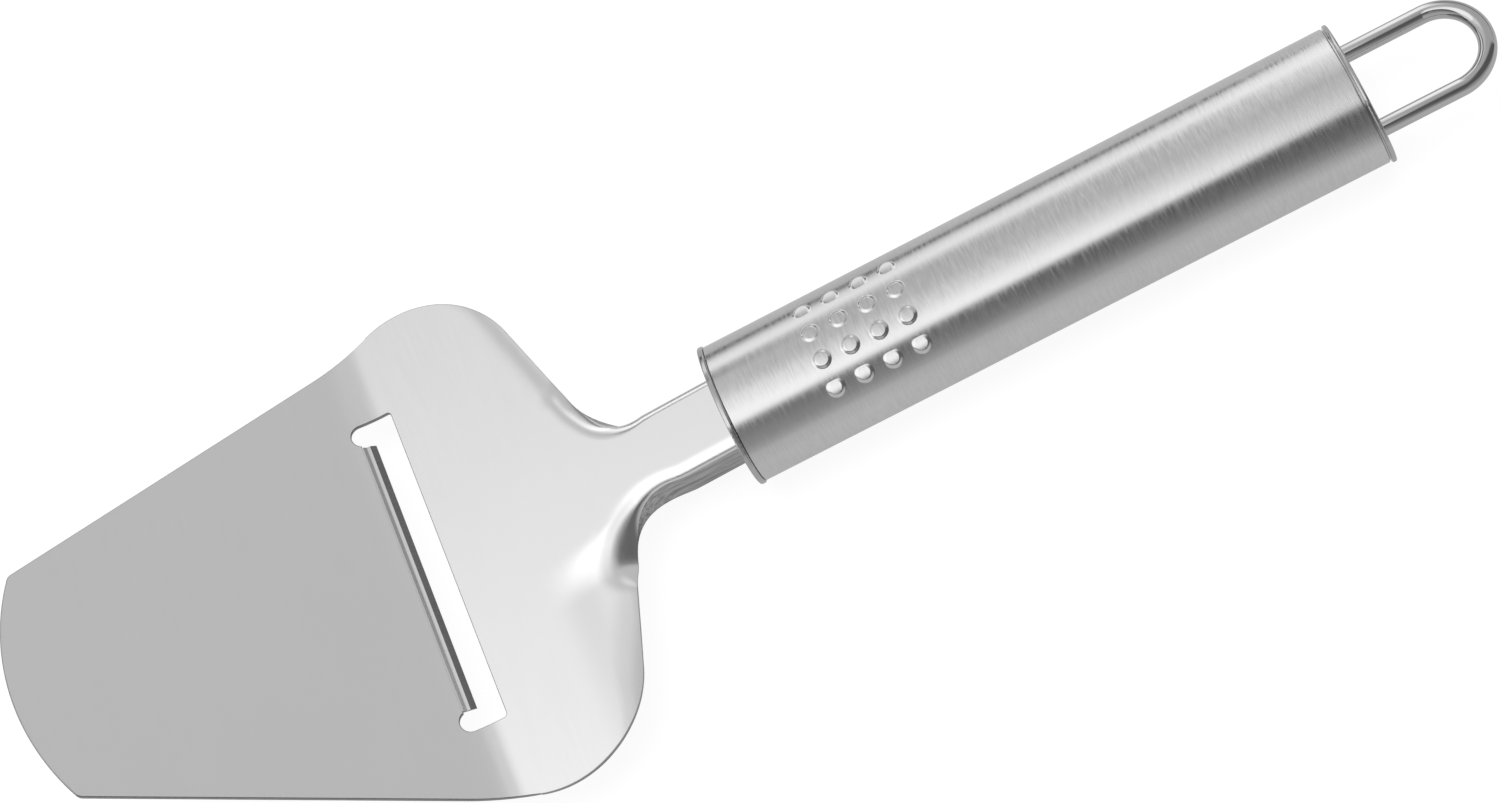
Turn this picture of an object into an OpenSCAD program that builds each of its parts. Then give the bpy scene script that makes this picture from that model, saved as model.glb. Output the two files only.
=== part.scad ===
// Hand-held cheese slicer in stainless steel: a pressed blade on an oval hollow handle with a hanging loop.
// X runs along the handle from the blade's tip to the loop, Y across the blade, Z up.
// The origin lies under the middle of the whole slicer, on the surface that the handle's caps rest on.

/* [Handle tube] */
// Length of the tube, without the caps
tube_len = 108; // [80:1:130]
// Width of the oval section
tube_w = 24.3; // [22:0.1:34]
// Height of the oval section
tube_h = 16.5; // [15.5:0.1:22]
// Radius of the oval's narrow sides
tube_side_r = 6.3; // [5.5:0.1:7.2]
// Wall of the tube
tube_wall = 0.7; // [0.5:0.1:0.9]

/* [Grip dots] */
// Diameter of a dot where it leaves the tube
dot_d = 3; // [2:0.1:4]
// Height that a dot stands above the tube
dot_rise = 0.35; // [0.3:0.05:0.6]
// Distance between dots, along the tube and round it
dot_pitch = 4.95; // [4.4:0.05:5]
// Dots along the tube
dot_columns = 4; // [1:1:12]
// Dots round the tube
dot_rows = 4; // [1:1:4]
// Distance from the tube's front end to the first dots
dot_start = 17; // [10:0.1:40]

/* [Caps] */
// Thickness of the front cap's rim
front_rim_t = 0.95; // [0.85:0.05:1.6]
// Height that the front rim stands above the tube
front_rim_rise = 0.3; // [0.1:0.05:0.6]
// Rounding of the edges of the front rim and the rear flange
rim_edge_r = 0.3; // [0.2:0.05:0.35]
// Length of the front cap's skirt inside the tube
front_skirt_len = 7; // [4:0.5:12]
// Thickness of the rear cap's flange
rear_flange_t = 0.75; // [0.75:0.05:2]
// Height that the rear flange stands above the tube
rear_flange_rise = 0.3; // [0.1:0.05:1.2]
// Width of the groove between the rear flange and the tube
rear_groove_w = 0.25; // [0.2:0.05:0.8]
// Depth of that groove below the tube's surface
rear_groove_depth = 0.35; // [0.2:0.05:0.45]
// Length of the rear cap's skirt inside the tube
rear_skirt_len = 6; // [4:0.5:12]
// Wall of both skirts
skirt_wall = 0.8; // [0.5:0.1:1]
// Gap between a skirt and the tube's bore
skirt_gap = 0.05; // [0.02:0.01:0.1]

/* [Hanging loop] */
// Diameter of the wire
wire_d = 2.9; // [2:0.05:3.5]
// Distance between the middles of the two legs
loop_w = 14.1; // [10:0.1:14.5]
// Reach of the loop past the rear cap
loop_reach = 22.1; // [14:0.1:30]
// Length of a leg inside the handle
loop_tail = 3; // [2:0.1:5]
// Gap between a leg and its hole in the cap
loop_gap = 0.05; // [0.02:0.01:0.1]

/* [Blade sheet] */
// Thickness of the sheet
sheet_t = 0.8; // [0.6:0.05:1]
// Slope of the neck and the rear plate, down towards the tip, in degrees
seat_tilt = 3; // [2:0.1:4.5]
// Height of the neck's top face above the handle's axis, at the tube's front end
seat_rise = 2.9; // [2.4:0.1:3.2]
// Distance along the sheet from the tube's front end to the middle of the plate's bend
bend_at = 56.9; // [56.5:0.1:62]
// Inner radius of the plate's bend
bend_r = 20; // [14:0.5:22]
// Angle of the plate's bend, in degrees
bend_angle = 28.4; // [20:0.2:32]

/* [Blade outline] */
// Greatest width of the blade
blade_w = 87.6; // [80:0.1:100]
// Radius of the two shoulders
shoulder_r = 17.5; // [14:0.5:20]
// Distance from the tube's front end to the blade's widest place
shoulder_at = 45.5; // [43:0.5:48]
// Slant of the edges between shoulder and neck, in degrees
back_slant = 17.5; // [12:0.5:22]
// Narrowing of each side towards the tip, in degrees
side_taper = 19; // [14:0.5:22]
// Length of the plate in front of its bend
front_len = 61.25; // [50:0.25:75]
// Radius of the curved front edge
front_r = 40.7; // [36:0.1:70]
// Radius of the two front corners
front_corner_r = 1.6; // [0.8:0.1:4]

/* [Neck] */
// Width of the neck
neck_w = 12.8; // [11:0.1:13.6]
// Height of the neck's folded sides
neck_h = 7.9; // [6:0.1:8.2]
// Outer radius of the fold along the neck
fold_r = 1.55; // [1.3:0.05:1.9]
// Radius in the corner between neck and plate, seen from above
fillet_r = 11.5; // [9:0.5:13]
// Height of the folded side where the corner ends
fade_h = 2.6; // [1:0.1:3.5]
// Length of the neck inside the handle
tang_len = 12; // [9:0.5:30]
// Gap between the neck and its opening in the front cap
neck_gap = 0.08; // [0.02:0.01:0.15]

/* [Cutting slot] */
// Distance from the tube's front end to the slot's rear edge
slot_at = 51.7; // [50.5:0.1:52]
// Distance from the slot's rear edge to the lip's root
slot_w = 5.9; // [5.7:0.1:6.6]
// Length of the slot across the blade
slot_len = 57.2; // [45:0.2:60]
// Radius of the slot's rear corners
slot_corner_r = 0.6; // [0.4:0.1:1.5]
// Width of the round notch at each end of the lip
notch_w = 3.6; // [2.4:0.1:4]
// Depth of a notch past the lip's root
notch_depth = 1.5; // [0.5:0.1:1.8]
// Gap between an end of the lip and its notch
lip_end_gap = 0.5; // [0.1:0.05:0.8]
// Slope of the cutting lip, down towards the handle, in degrees
lip_slope = 35; // [25:1:40]
// Length of the lip's face, from its root to the bevel
lip_face = 1.12; // [0.8:0.02:1.3]
// Angle of the ground bevel to the lip, in degrees
bevel_slope = 30; // [25:1:40]

/* [Welds] */
// Leg of the weld beads between neck and front cap
neck_bead = 1.4; // [0.8:0.1:2]
// Leg of the weld beads round the loop's wire
loop_bead = 1.2; // [0.8:0.1:1.8]

/* [Hidden] */
$fn = 96;

// Extra reach of a cutting solid past the face that it cuts
past = 1;
// Overlap of two stretches of sheet that are one piece
seam = 0.5;
// Distance that the lip's face starts inside the plate, towards the tip and downwards
lip_in = 0.05;

// Four-arc oval: centres and radii of the narrow and the broad arcs
side_c = tube_w / 2 - tube_side_r;
broad_c = (side_c * side_c - pow(tube_h / 2 - tube_side_r, 2)) / (tube_h - 2 * tube_side_r);
broad_r = broad_c + tube_h / 2;
broad_turn = atan2(side_c, broad_c);
skirt_in = -tube_wall - skirt_gap;

// Sphere that a dot is cut from, and its depth below the tube's surface
dot_ball_r = (pow(dot_d / 2, 2) + dot_rise * dot_rise) / (2 * dot_rise);
dot_depth = dot_ball_r - dot_rise;

// Faces of the rear cap
rear_face = tube_len + rear_groove_w + rear_flange_t;
loop_r = loop_w / 2;
loop_turn_at = rear_face + loop_reach - loop_r - wire_d / 2;

// Blade seen square to its rear plate: distances run towards the tip
neck_half = neck_w / 2;
bend_start = bend_at - bend_r * bend_angle * PI / 360;
bend_end = bend_start + bend_r * sin(bend_angle);
bend_rise = bend_r * (1 - cos(bend_angle));
shoulder_y = blade_w / 2 - shoulder_r;
back_end = [-shoulder_at + shoulder_r * cos(back_slant), shoulder_y + shoulder_r * sin(back_slant)];
fillet_y = neck_half + fillet_r;
fillet_x = back_end[0] + (fillet_r - (fillet_y - back_end[1]) * sin(back_slant)) / cos(back_slant);
back_start = [fillet_x - fillet_r * cos(back_slant), fillet_y - fillet_r * sin(back_slant)];
back_len = norm(back_end - back_start);
fade_slope = (neck_h - fade_h) / (fillet_x - seam - back_start[0]);
side_start = [-shoulder_at - shoulder_r * sin(side_taper), shoulder_y + shoulder_r * cos(side_taper)];
joint_half = side_start[1] - (bend_end + side_start[0]) * tan(side_taper);
past_tip = [-bend_end - front_len, joint_half - front_len * tan(side_taper)];
joint_side = joint_half + past * tan(side_taper);
lip_root = slot_at + slot_w;
lip_rise = bend_r - sqrt(bend_r * bend_r - pow(lip_root - bend_start, 2));
lip_half = slot_len / 2 - notch_w - lip_end_gap;

// Front plate in its own plane, from the end of the bend: middle of the rounded corner
front_arc_x = front_r - front_len;
corner_lift = joint_half - front_corner_r / cos(side_taper) + front_arc_x * tan(side_taper);
corner_run = sqrt(pow(front_r - front_corner_r, 2) - pow(corner_lift * cos(side_taper), 2));
corner = [front_arc_x - corner_run * cos(side_taper) - corner_lift * sin(side_taper) * cos(side_taper),
    corner_lift * pow(cos(side_taper), 2) - corner_run * sin(side_taper)];
corner_side = corner + front_corner_r * [-sin(side_taper), cos(side_taper)];
corner_out = corner + 2 * front_r * (corner - [front_arc_x, 0]) / norm(corner - [front_arc_x, 0]);

// The whole slicer: half its length and the height of the handle's axis
tip_run = bend_end + front_len * cos(bend_angle) + sheet_t * sin(bend_angle);
tip_rise = bend_rise + front_len * sin(bend_angle) - sheet_t * cos(bend_angle);
tip_x = -tip_run * cos(seat_tilt) - tip_rise * sin(seat_tilt);
middle_x = (tip_x + rear_face + loop_reach) / 2;
axis_h = tube_h / 2 + max(front_rim_rise, rear_flange_rise);

// Moves a piece from the handle's axes, which start at the tube's front end, to the slicer's own
module on_table() {
    translate([-middle_x, 0, axis_h]) children();
}

// Moves a piece from the rear plate's axes, whose Z = 0 is the sheet's top face, to the handle's
module on_seat() {
    translate([0, 0, seat_rise]) rotate([0, -seat_tilt, 0]) children();
}

// Extrudes a section drawn in Y and Z along X
module along_x(from, to) {
    translate([from, 0, 0]) rotate([90, 0, 90]) linear_extrude(to - from) children();
}

// Extrudes a section drawn in X and Z along Y, half to each side
module along_y(half) {
    rotate([90, 0, 0]) linear_extrude(2 * half, center = true) children();
}

// Draws its children on both sides of the middle plane
module both_sides() {
    children();
    mirror([0, 1, 0]) children();
}

// The same point on the other side of the middle plane
function across(point) = [point[0], -point[1]];

// The tube's outline, moved out by grow
module oval(grow) {
    for (side = [-1, 1]) translate([side * side_c, 0]) circle(tube_side_r + grow);
    intersection() {
        translate([0, -broad_c]) circle(broad_r + grow);
        translate([0, broad_c]) circle(broad_r + grow);
        square([2 * (broad_r + grow) * sin(broad_turn), tube_h + 2 * grow + past], center = true);
    }
}

// Balls of radius r under every dot
module dot_balls(r) {
    for (column = [0 : dot_columns - 1], row = [0 : dot_rows - 1]) {
        turn = (row - (dot_rows - 1) / 2) * dot_pitch / broad_r * 180 / PI;
        translate([dot_start + column * dot_pitch, 0, -broad_c]) rotate([turn, 0, 0])
            translate([0, 0, broad_r - dot_depth]) sphere(r);
    }
}

module handle_tube() {
    color("silver") on_table() difference() {
        union() {
            along_x(0, tube_len) oval(0);
            dot_balls(dot_ball_r);
        }
        along_x(-past, tube_len + past) oval(-tube_wall);
        dot_balls(dot_ball_r - tube_wall);
    }
}

// Section of a rounded rim of radius r, with its axis at X = 0
module rim_section(r, t) {
    inner = r - rim_edge_r;
    translate([inner - seam, 0]) square([seam, t]);
    translate([inner, rim_edge_r]) square([rim_edge_r, t - 2 * rim_edge_r]);
    for (y = [rim_edge_r, t - rim_edge_r]) translate([inner, y]) circle(rim_edge_r);
}

// Oval plate with rounded edges, standing above the tube by rise
module rim(from, to, rise) {
    t = to - from;
    along_x(from, to) oval(rise - rim_edge_r);
    translate([from, 0, 0]) rotate([90, 0, 90]) for (turn = [0, 180]) rotate([0, 0, turn]) {
        translate([side_c, 0, 0]) rotate([0, 0, broad_turn - 90])
            rotate_extrude(angle = 180 - 2 * broad_turn) rim_section(tube_side_r + rise, t);
        translate([0, -broad_c, 0]) rotate([0, 0, 90 - broad_turn])
            rotate_extrude(angle = 2 * broad_turn) rim_section(broad_r + rise, t);
    }
}

// Thin ring that a cap pushes into the tube
module skirt(from, to) {
    along_x(from, to) difference() {
        oval(skirt_in);
        oval(skirt_in - skirt_wall);
    }
}

module front_cap() {
    color("gainsboro") on_table() difference() {
        union() {
            rim(-front_rim_t, 0, front_rim_rise);
            skirt(-seam, front_skirt_len);
        }
        on_seat() along_x(-front_rim_t - past, past) channel(neck_gap);
    }
}

module rear_cap() {
    color("gainsboro") on_table() difference() {
        union() {
            rim(rear_face - rear_flange_t, rear_face, rear_flange_rise);
            along_x(tube_len, rear_face - rear_flange_t) oval(-rear_groove_depth);
            skirt(tube_len - rear_skirt_len, tube_len + rear_groove_w);
        }
        both_sides() along_x(tube_len - past, rear_face + past)
            translate([loop_r, 0]) circle(wire_d / 2 + loop_gap);
    }
}

module hanging_loop() {
    color("whitesmoke") on_table() {
        both_sides() along_x(tube_len - loop_tail, loop_turn_at) translate([loop_r, 0]) circle(wire_d / 2);
        translate([loop_turn_at, 0, 0]) rotate([0, 0, -90]) rotate_extrude(angle = 180)
            translate([loop_r, 0]) circle(wire_d / 2);
    }
}

// Weld bead round each leg, on the inside of the rear cap
module loop_welds() {
    color("darkgray") on_table() both_sides() translate([tube_len, loop_r, 0]) rotate([0, -90, 0])
        rotate_extrude() translate([wire_d / 2, 0]) polygon([[0, 0], [loop_bead, 0], [0, loop_bead]]);
}

// Weld beads over and beside the neck, on the inside of the front cap
module neck_welds() {
    color("darkgray") on_table() {
        along_y(neck_half - fold_r) polygon([[0, seat_rise],
            [neck_bead, seat_rise + neck_bead * tan(seat_tilt)], [0, seat_rise + neck_bead]]);
        both_sides() translate([0, neck_half, seat_rise - neck_h / 2])
            linear_extrude(neck_h / 2 - fold_r) polygon([[0, 0], [neck_bead, 0], [0, neck_bead]]);
    }
}

// Section of a folded edge: its outer wall is at X = 0, and the sheet lies on the side of -X
module folded_edge(grow) {
    inner_r = fold_r - sheet_t - grow;
    intersection() {
        translate([-fold_r, -fold_r]) difference() {
            circle(fold_r + grow);
            circle(inner_r);
        }
        translate([-fold_r, -fold_r]) square(fold_r + grow);
    }
    translate([-sheet_t - grow, -neck_h - grow]) square([sheet_t + 2 * grow, neck_h - fold_r + grow]);
    translate([-fold_r - seam, -sheet_t - grow]) square([seam, sheet_t + 2 * grow]);
}

// Section of the neck, thickened all round by grow
module channel(grow) {
    for (side = [0, 1]) mirror([side, 0]) translate([neck_half, 0]) folded_edge(grow);
    translate([fold_r - neck_half, -sheet_t - grow]) square([neck_w - 2 * fold_r, sheet_t + 2 * grow]);
}

// Side view of the space above a face of the sheet, which lies depth below the top face
module above(depth, extra) {
    r = bend_r + depth;
    high = r + 2 * bend_r + extra;
    translate([-bend_start, bend_r]) {
        circle(r);
        translate([0, -r]) square([bend_start + extra, high]);
        rotate(-bend_angle) translate([-front_len - past - extra, -r])
            square([front_len + past + extra, high]);
    }
}

// Outline of the rear plate less the strip that is folded down; the sides run on past the tip
module rear_outline() {
    difference() {
        both_sides() {
            polygon([[fillet_x, 0], [fillet_x, neck_half], back_start, back_end,
                side_start, past_tip, [past_tip[0], 0]]);
            translate([-shoulder_at, shoulder_y]) circle(shoulder_r);
        }
        both_sides() {
            translate([fillet_x, fillet_y]) circle(fillet_r + fold_r);
            translate(back_start) rotate(back_slant) translate([-fold_r, 0]) square([2 * fold_r, back_len]);
        }
    }
}

// Outline of the front plate, open towards the handle from just before the bend's end
module front_outline() {
    polygon([[past, blade_w], [past, joint_side], corner_side, corner, across(corner), across(corner_side),
        [past, -joint_side], [past, -blade_w], [lip_root, -blade_w], [lip_root, blade_w]]);
    both_sides() translate(corner) circle(front_corner_r);
    intersection() {
        translate([front_arc_x, 0]) circle(front_r);
        polygon([corner, corner_out, across(corner_out), across(corner)]);
    }
}

// Bent sheet: rear plate, bend and front plate in one
module plate() {
    intersection() {
        along_y(blade_w) difference() {
            above(sheet_t, 0);
            above(0, past);
        }
        translate([0, 0, -blade_w]) linear_extrude(2 * blade_w) rear_outline();
        translate([-bend_end, 0, bend_rise]) rotate([0, bend_angle, 0])
            translate([0, 0, -blade_w]) linear_extrude(2 * blade_w) front_outline();
    }
}

// Folded edge round the corner, where it fades out, and on up to the shoulder
module folded_side() {
    intersection() {
        union() {
            translate([fillet_x, -fillet_y, 0]) rotate([0, 0, 90])
                rotate_extrude(angle = 90 - back_slant) translate([fillet_r, 0]) mirror([1, 0]) folded_edge(0);
            translate([back_start[0], -back_start[1], 0]) rotate([0, 0, -back_slant])
                translate([0, -back_len / 2, 0]) along_y(back_len / 2) folded_edge(0);
        }
        along_y(blade_w) polygon([[fillet_x + past, past], [fillet_x + past, -neck_h - (past + seam) * fade_slope],
            [back_start[0], -fade_h], [back_end[0], -sheet_t], [-shoulder_at, -sheet_t], [-shoulder_at, past]]);
    }
}

// Opening in the bend, with a round notch at each end of the lip
module slot() {
    half = slot_len / 2;
    translate([-lip_root, -half]) square([slot_w - slot_corner_r, slot_len]);
    translate([-slot_at - slot_corner_r, slot_corner_r - half])
        square([slot_corner_r, slot_len - 2 * slot_corner_r]);
    both_sides() {
        translate([-slot_at - slot_corner_r, half - slot_corner_r]) circle(slot_corner_r);
        translate([-lip_root - notch_depth + notch_w / 2, half - notch_w / 2]) circle(notch_w / 2);
    }
}

// Cutting lip: bent down into the slot, with its top ground to an edge
module lip() {
    translate([-lip_root - lip_in, 0, lip_rise - lip_in]) rotate([0, lip_slope, 0]) along_y(lip_half)
        polygon([[0, 0], [lip_face, 0], [lip_face + sheet_t / tan(bevel_slope), -sheet_t],
            [-seam, -sheet_t + lip_in]]);
}

module blade() {
    color("lightgray") on_table() on_seat() {
        difference() {
            union() {
                plate();
                along_x(fillet_x, tang_len) channel(0);
                both_sides() folded_side();
            }
            translate([0, 0, -bend_r]) linear_extrude(2 * bend_r) slot();
        }
        lip();
    }
}

blade();
front_cap();
neck_welds();
handle_tube();
rear_cap();
hanging_loop();
loop_welds();
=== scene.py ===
"""Cheese slicer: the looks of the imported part, in metres and in its own frame.

The frame's X axis runs along the handle from the blade's tip to the hanging loop, Y across the
blade and Z up. The blade and the handle tube get finer meshes of their own, with the folded
neck, the crease beside it, the ground cutting lip and the pressed grip dots. The caps, the loop
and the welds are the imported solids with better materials.
"""

import logging
import math
from collections.abc import Sequence
from dataclasses import dataclass
from enum import Enum, IntEnum
from itertools import accumulate

import bpy
import numpy as np
from mathutils import Matrix, Vector
from mathutils.geometry import delaunay_2d_cdt

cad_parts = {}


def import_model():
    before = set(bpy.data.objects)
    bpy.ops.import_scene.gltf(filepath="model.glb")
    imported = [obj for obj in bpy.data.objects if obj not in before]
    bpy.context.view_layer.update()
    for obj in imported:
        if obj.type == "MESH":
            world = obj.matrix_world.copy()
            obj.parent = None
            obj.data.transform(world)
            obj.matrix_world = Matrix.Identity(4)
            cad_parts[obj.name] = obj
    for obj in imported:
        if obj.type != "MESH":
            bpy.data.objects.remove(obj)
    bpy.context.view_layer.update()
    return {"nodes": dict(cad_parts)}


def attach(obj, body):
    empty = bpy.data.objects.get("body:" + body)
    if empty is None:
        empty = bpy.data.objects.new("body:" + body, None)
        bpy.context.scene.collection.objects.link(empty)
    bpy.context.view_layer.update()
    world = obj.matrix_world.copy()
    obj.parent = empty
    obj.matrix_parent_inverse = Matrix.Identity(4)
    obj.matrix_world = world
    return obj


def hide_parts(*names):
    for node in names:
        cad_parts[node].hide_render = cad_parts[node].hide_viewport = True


LOG = logging.getLogger("slicer")
MM = 0.001
ROOT = "root"

# Noise lies mostly between these two values.
NOISE_LOW = 0.3
NOISE_HIGH = 0.7

# Waves per metre of the broad patches along X, Y and Z, and the least roughness of any steel.
CLOUD_WAVES = (60.0, 60.0, 60.0)
LEAST_ROUGH = 0.02

# Mesh steps along half of the blade's outline, from the neck to the middle of the front.
NECK_STEPS = 24
FILLET_STEPS = 40
BACK_STEPS = 30
SHOULDER_STEPS = 60
SIDE_STEPS = 60
CORNER_STEPS = 8
FRONT_STEPS = 24

# Mesh steps across the turned-down edge. The flank's points keep a small gap where it has no length.
GENTLE_STEPS = 10
TIGHT_STEPS = 8
FLANK_SHARES = (0.33, 0.66, 0.95, 1.0)
FLANK_GAP = 0.02

# Mesh points of the slot's outline, the least gap between two of them, and how far inside the
# neck's end the mesh of the flat middle starts, in millimetres.
SLOT_CORNER_POINTS = 6
NOTCH_POINTS = 19
LEAST_GAP = 0.3
MIDDLE_INSET = 0.5

LIP_STEPS = 6
LIP_COLUMNS = 50

# How far the shading leans where a cut edge meets a face: a plain edge towards the face, and on
# a broken edge the face's own rows outwards and the rows between towards the face.
EDGE_LEAN = 0.45
RIM_LEAN = 0.5
LAND_LEAN = 0.8

# Mesh points of the tube: over each rounded end, before the dots, behind them and round the rest.
END_POINTS = 7
FRONT_POINTS = 8
REAR_POINTS = 36
ROUND_POINTS = 90

# A flat point is (a, y) on the unbent sheet. A station is a point of its edge, the edge's outward
# normal and the distance run. An edge pair is a top and an underside vertex with a vector. Known
# points of the outline have such vertices already.
FlatPoint = tuple[float, float]
Station = tuple[float, float, float, float, float]
EdgePair = tuple[int, int, np.ndarray]
Known = dict[FlatPoint, tuple[int, int]]


class Drop(Enum):
    """Ways that a blend runs from one value to the next."""

    LINEAR = "LINEAR"
    SMOOTH = "SMOOTHSTEP"


class Face(IntEnum):
    """Finishes of the blade's faces, by the index of their material."""

    SATIN = 0
    SHEARED = 1
    # The ground bevel: a rough ground finish, with a darker tone that is painted shade.
    GROUND_SHADED = 2
    # The drawn flanks: a streaky drawn finish, with a darker tone that is painted shade.
    DRAWN_SHADED = 3


class Sock:
    """A node's output socket, with arithmetic that adds the nodes it needs."""

    def __init__(self, board: "Board", link: bpy.types.NodeSocket) -> None:
        """Wraps a socket.

        Args:
            board: The tree that the socket belongs to.
            link: The output socket.
        """
        self.board = board
        self.link = link

    def _math(self, operation: str, *values: "float | Sock") -> "Sock":
        """Adds one Math node on these values and returns its result."""
        return self.board.add("ShaderNodeMath", {"operation": operation}, dict(enumerate(values)))

    def __add__(self, other: "float | Sock") -> "Sock":
        """Sum."""
        return self._math("ADD", self, other)

    __radd__ = __add__

    def __mul__(self, other: "float | Sock") -> "Sock":
        """Product."""
        return self._math("MULTIPLY", self, other)

    __rmul__ = __mul__

    def __sub__(self, other: "float | Sock") -> "Sock":
        """Difference."""
        return self._math("SUBTRACT", self, other)

    def __rsub__(self, other: "float | Sock") -> "Sock":
        """Difference from a number."""
        return self._math("SUBTRACT", other, self)


class Board:
    """A node tree, with one method that adds any node."""

    def __init__(self, tree: bpy.types.NodeTree) -> None:
        """Starts on an emptied tree.

        Args:
            tree: A material's or the world's node tree.
        """
        self.tree = tree
        tree.nodes.clear()

    def add(self, kind: str, settings: dict | None = None, values: dict | None = None,
            out: int | str = 0) -> Sock:
        """Adds a node.

        Args:
            kind: The node's type.
            settings: Its settings, set before its sockets. The key "stops" fills a colour ramp.
            values: Number, colour or Sock for each input, by name or index.
            out: The output to return, by name or index.

        Returns:
            The chosen output, or the first input of a node that has no outputs.
        """
        node = self.tree.nodes.new(kind)
        for name, value in (settings or {}).items():
            if name == "stops":
                ramp = node.color_ramp
                while len(ramp.elements) < len(value):
                    ramp.elements.new(1.0)
                for element, (place, shade) in zip(ramp.elements, value):
                    element.position = place
                    element.color = (shade, shade, shade, 1.0)
            else:
                setattr(node, name, value)
        for name, value in (values or {}).items():
            if isinstance(value, Sock):
                self.tree.links.new(value.link, node.inputs[name])
            else:
                node.inputs[name].default_value = value
        return Sock(self, node.outputs[out] if node.outputs else node.inputs[0])

    def spread(self, value: Sock, low: float, high: float, to_low: float, to_high: float,
               drop: Drop = Drop.SMOOTH) -> Sock:
        """Maps a value from low..high to to_low..to_high, held at both ends.

        Args:
            value: What is mapped.
            low: Value that gives to_low.
            high: Value that gives to_high.
            to_low: Result at low.
            to_high: Result at high.
            drop: How it runs between them.

        Returns:
            The mapped value.
        """
        ends = {"From Min": low, "From Max": high, "To Min": to_low, "To Max": to_high}
        return self.add("ShaderNodeMapRange", {"interpolation_type": drop.value, "clamp": True},
                        {"Value": value, **ends})

    def band(self, value: Sock, low: float, high: float, soft: float) -> Sock:
        """1 where the value lies between low and high, falling to 0 over soft outside them."""
        return (self.spread(value, low - soft, low + soft, 0.0, 1.0)
                * self.spread(value, high - soft, high + soft, 1.0, 0.0))

    def levels(self, angle: Sock, stops: Sequence[tuple[float, float]]) -> Sock:
        """Light level as a function of an angle in degrees, with straight lines between the stops.

        Args:
            angle: The angle.
            stops: Angle and level of each stop, the angles rising.

        Returns:
            The level.
        """
        place = self.spread(angle, -180.0, 180.0, 0.0, 1.0, Drop.LINEAR)
        top = max(level for _, level in stops)
        marks = [((at + 180.0) / 360.0, level / top) for at, level in stops]
        return self.add("ShaderNodeValToRGB", {"stops": marks}, {"Fac": place}) * top

    def grey(self, value: Sock, dark: float, light: float) -> Sock:
        """A grey between dark and light, as a colour."""
        return self.add("ShaderNodeMix", {"data_type": "RGBA"},
                        {0: value, 6: (dark, dark, dark, 1.0), 7: (light, light, light, 1.0)}, 2)

    def streaks(self, place: Sock, scale: tuple[float, float, float], detail: float = 2.0) -> Sock:
        """Noise drawn out along the axes with a small scale.

        Args:
            place: The coordinates.
            scale: Waves per metre along X, Y and Z.
            detail: Layers of finer noise.

        Returns:
            Noise about 0.5.
        """
        drawn = self.add("ShaderNodeMapping", {}, {"Vector": place, "Scale": scale})
        return self.add("ShaderNodeTexNoise", {},
                        {"Vector": drawn, "Scale": 1.0, "Detail": detail, "Roughness": 0.6})


@dataclass(frozen=True)
class Steel:
    """Bare stainless steel with the marks of its making.

    Attributes:
        name: The material's name.
        tone: Reflectance of clean metal.
        rough: Roughness of clean metal.
        grain: Waves per metre of the brushing along X, Y and Z.
        grain_depth: Height of the brushing, in metres.
        tone_swing: How much the grain changes the tone.
        rough_swing: How much the grain changes the roughness.
        cloud: How much broad patches change the tone.
    """

    name: str
    tone: float
    rough: float
    grain: tuple[float, float, float]
    grain_depth: float
    tone_swing: float = 0.06
    rough_swing: float = 0.08
    cloud: float = 0.02

    def material(self) -> bpy.types.Material:
        """Builds the finish.

        Returns:
            The material.
        """
        material = bpy.data.materials.new(self.name)
        material.use_nodes = True
        board = Board(material.node_tree)
        place = board.add("ShaderNodeTexCoord", out="Object")
        grain = board.streaks(place, self.grain, detail=3.0)
        broad = board.streaks(place, CLOUD_WAVES)
        swing = self.tone_swing + self.cloud
        tone = board.spread(grain * self.tone_swing + broad * self.cloud,
                            NOISE_LOW * swing, NOISE_HIGH * swing,
                            self.tone - self.tone_swing, self.tone + self.tone_swing, Drop.LINEAR)
        rough = board.spread(grain, NOISE_LOW, NOISE_HIGH, max(self.rough - self.rough_swing, LEAST_ROUGH),
                             self.rough + self.rough_swing, Drop.LINEAR)
        bump = board.add("ShaderNodeBump", {},
                         {"Height": grain, "Distance": self.grain_depth, "Strength": 1.0})
        shader = board.add("ShaderNodeBsdfPrincipled", {}, {
            "Base Color": board.grey(tone, 0.0, 1.0), "Metallic": 1.0, "Roughness": rough, "Normal": bump})
        board.add("ShaderNodeOutputMaterial", {}, {"Surface": shader})
        return material


SATIN_SHEET = Steel("blade_satin_sheet", 0.80, 0.2, (1500.0, 120.0, 1500.0), 0.0000004, 0.012, 0.02, 0.006)
BRUSHED_TUBE = Steel("tube_brushed_round", 0.66, 0.19, (3000.0, 380.0, 380.0), 0.000005, 0.04, 0.05, 0.01)
POLISHED_CAP = Steel("cap_polished", 0.52, 0.12, (700.0, 700.0, 700.0), 0.000001, 0.03, 0.04)
POLISHED_WIRE = Steel("wire_polished", 0.56, 0.04, (80.0, 500.0, 500.0), 0.000001, 0.03, 0.03)
CUT_EDGE = Steel("blade_sheared_edge", 0.34, 0.3, (900.0, 900.0, 2500.0), 0.00001, 0.05, 0.05)
# The neck's drawn flanks: real streaky drawing marks, with a dark tone that is painted shade.
DRAWN_SIDE_SHADED = Steel("neck_side_drawn_painted_shade", 0.4, 0.3, (120.0, 2200.0, 2200.0), 0.000004, 0.2, 0.06)
# The lip's ground bevel: real grinding marks and roughness, with a dark tone that is painted shade.
GROUND_BEVEL_SHADED = Steel("lip_ground_bevel_painted_shade", 0.26, 0.36, (300.0, 4000.0, 300.0), 0.000002, 0.04, 0.05)
WELD_BEAD = Steel("weld_bead_dull", 0.35, 0.45, (1500.0, 1500.0, 1500.0), 0.00004, 0.1, 0.1)


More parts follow.
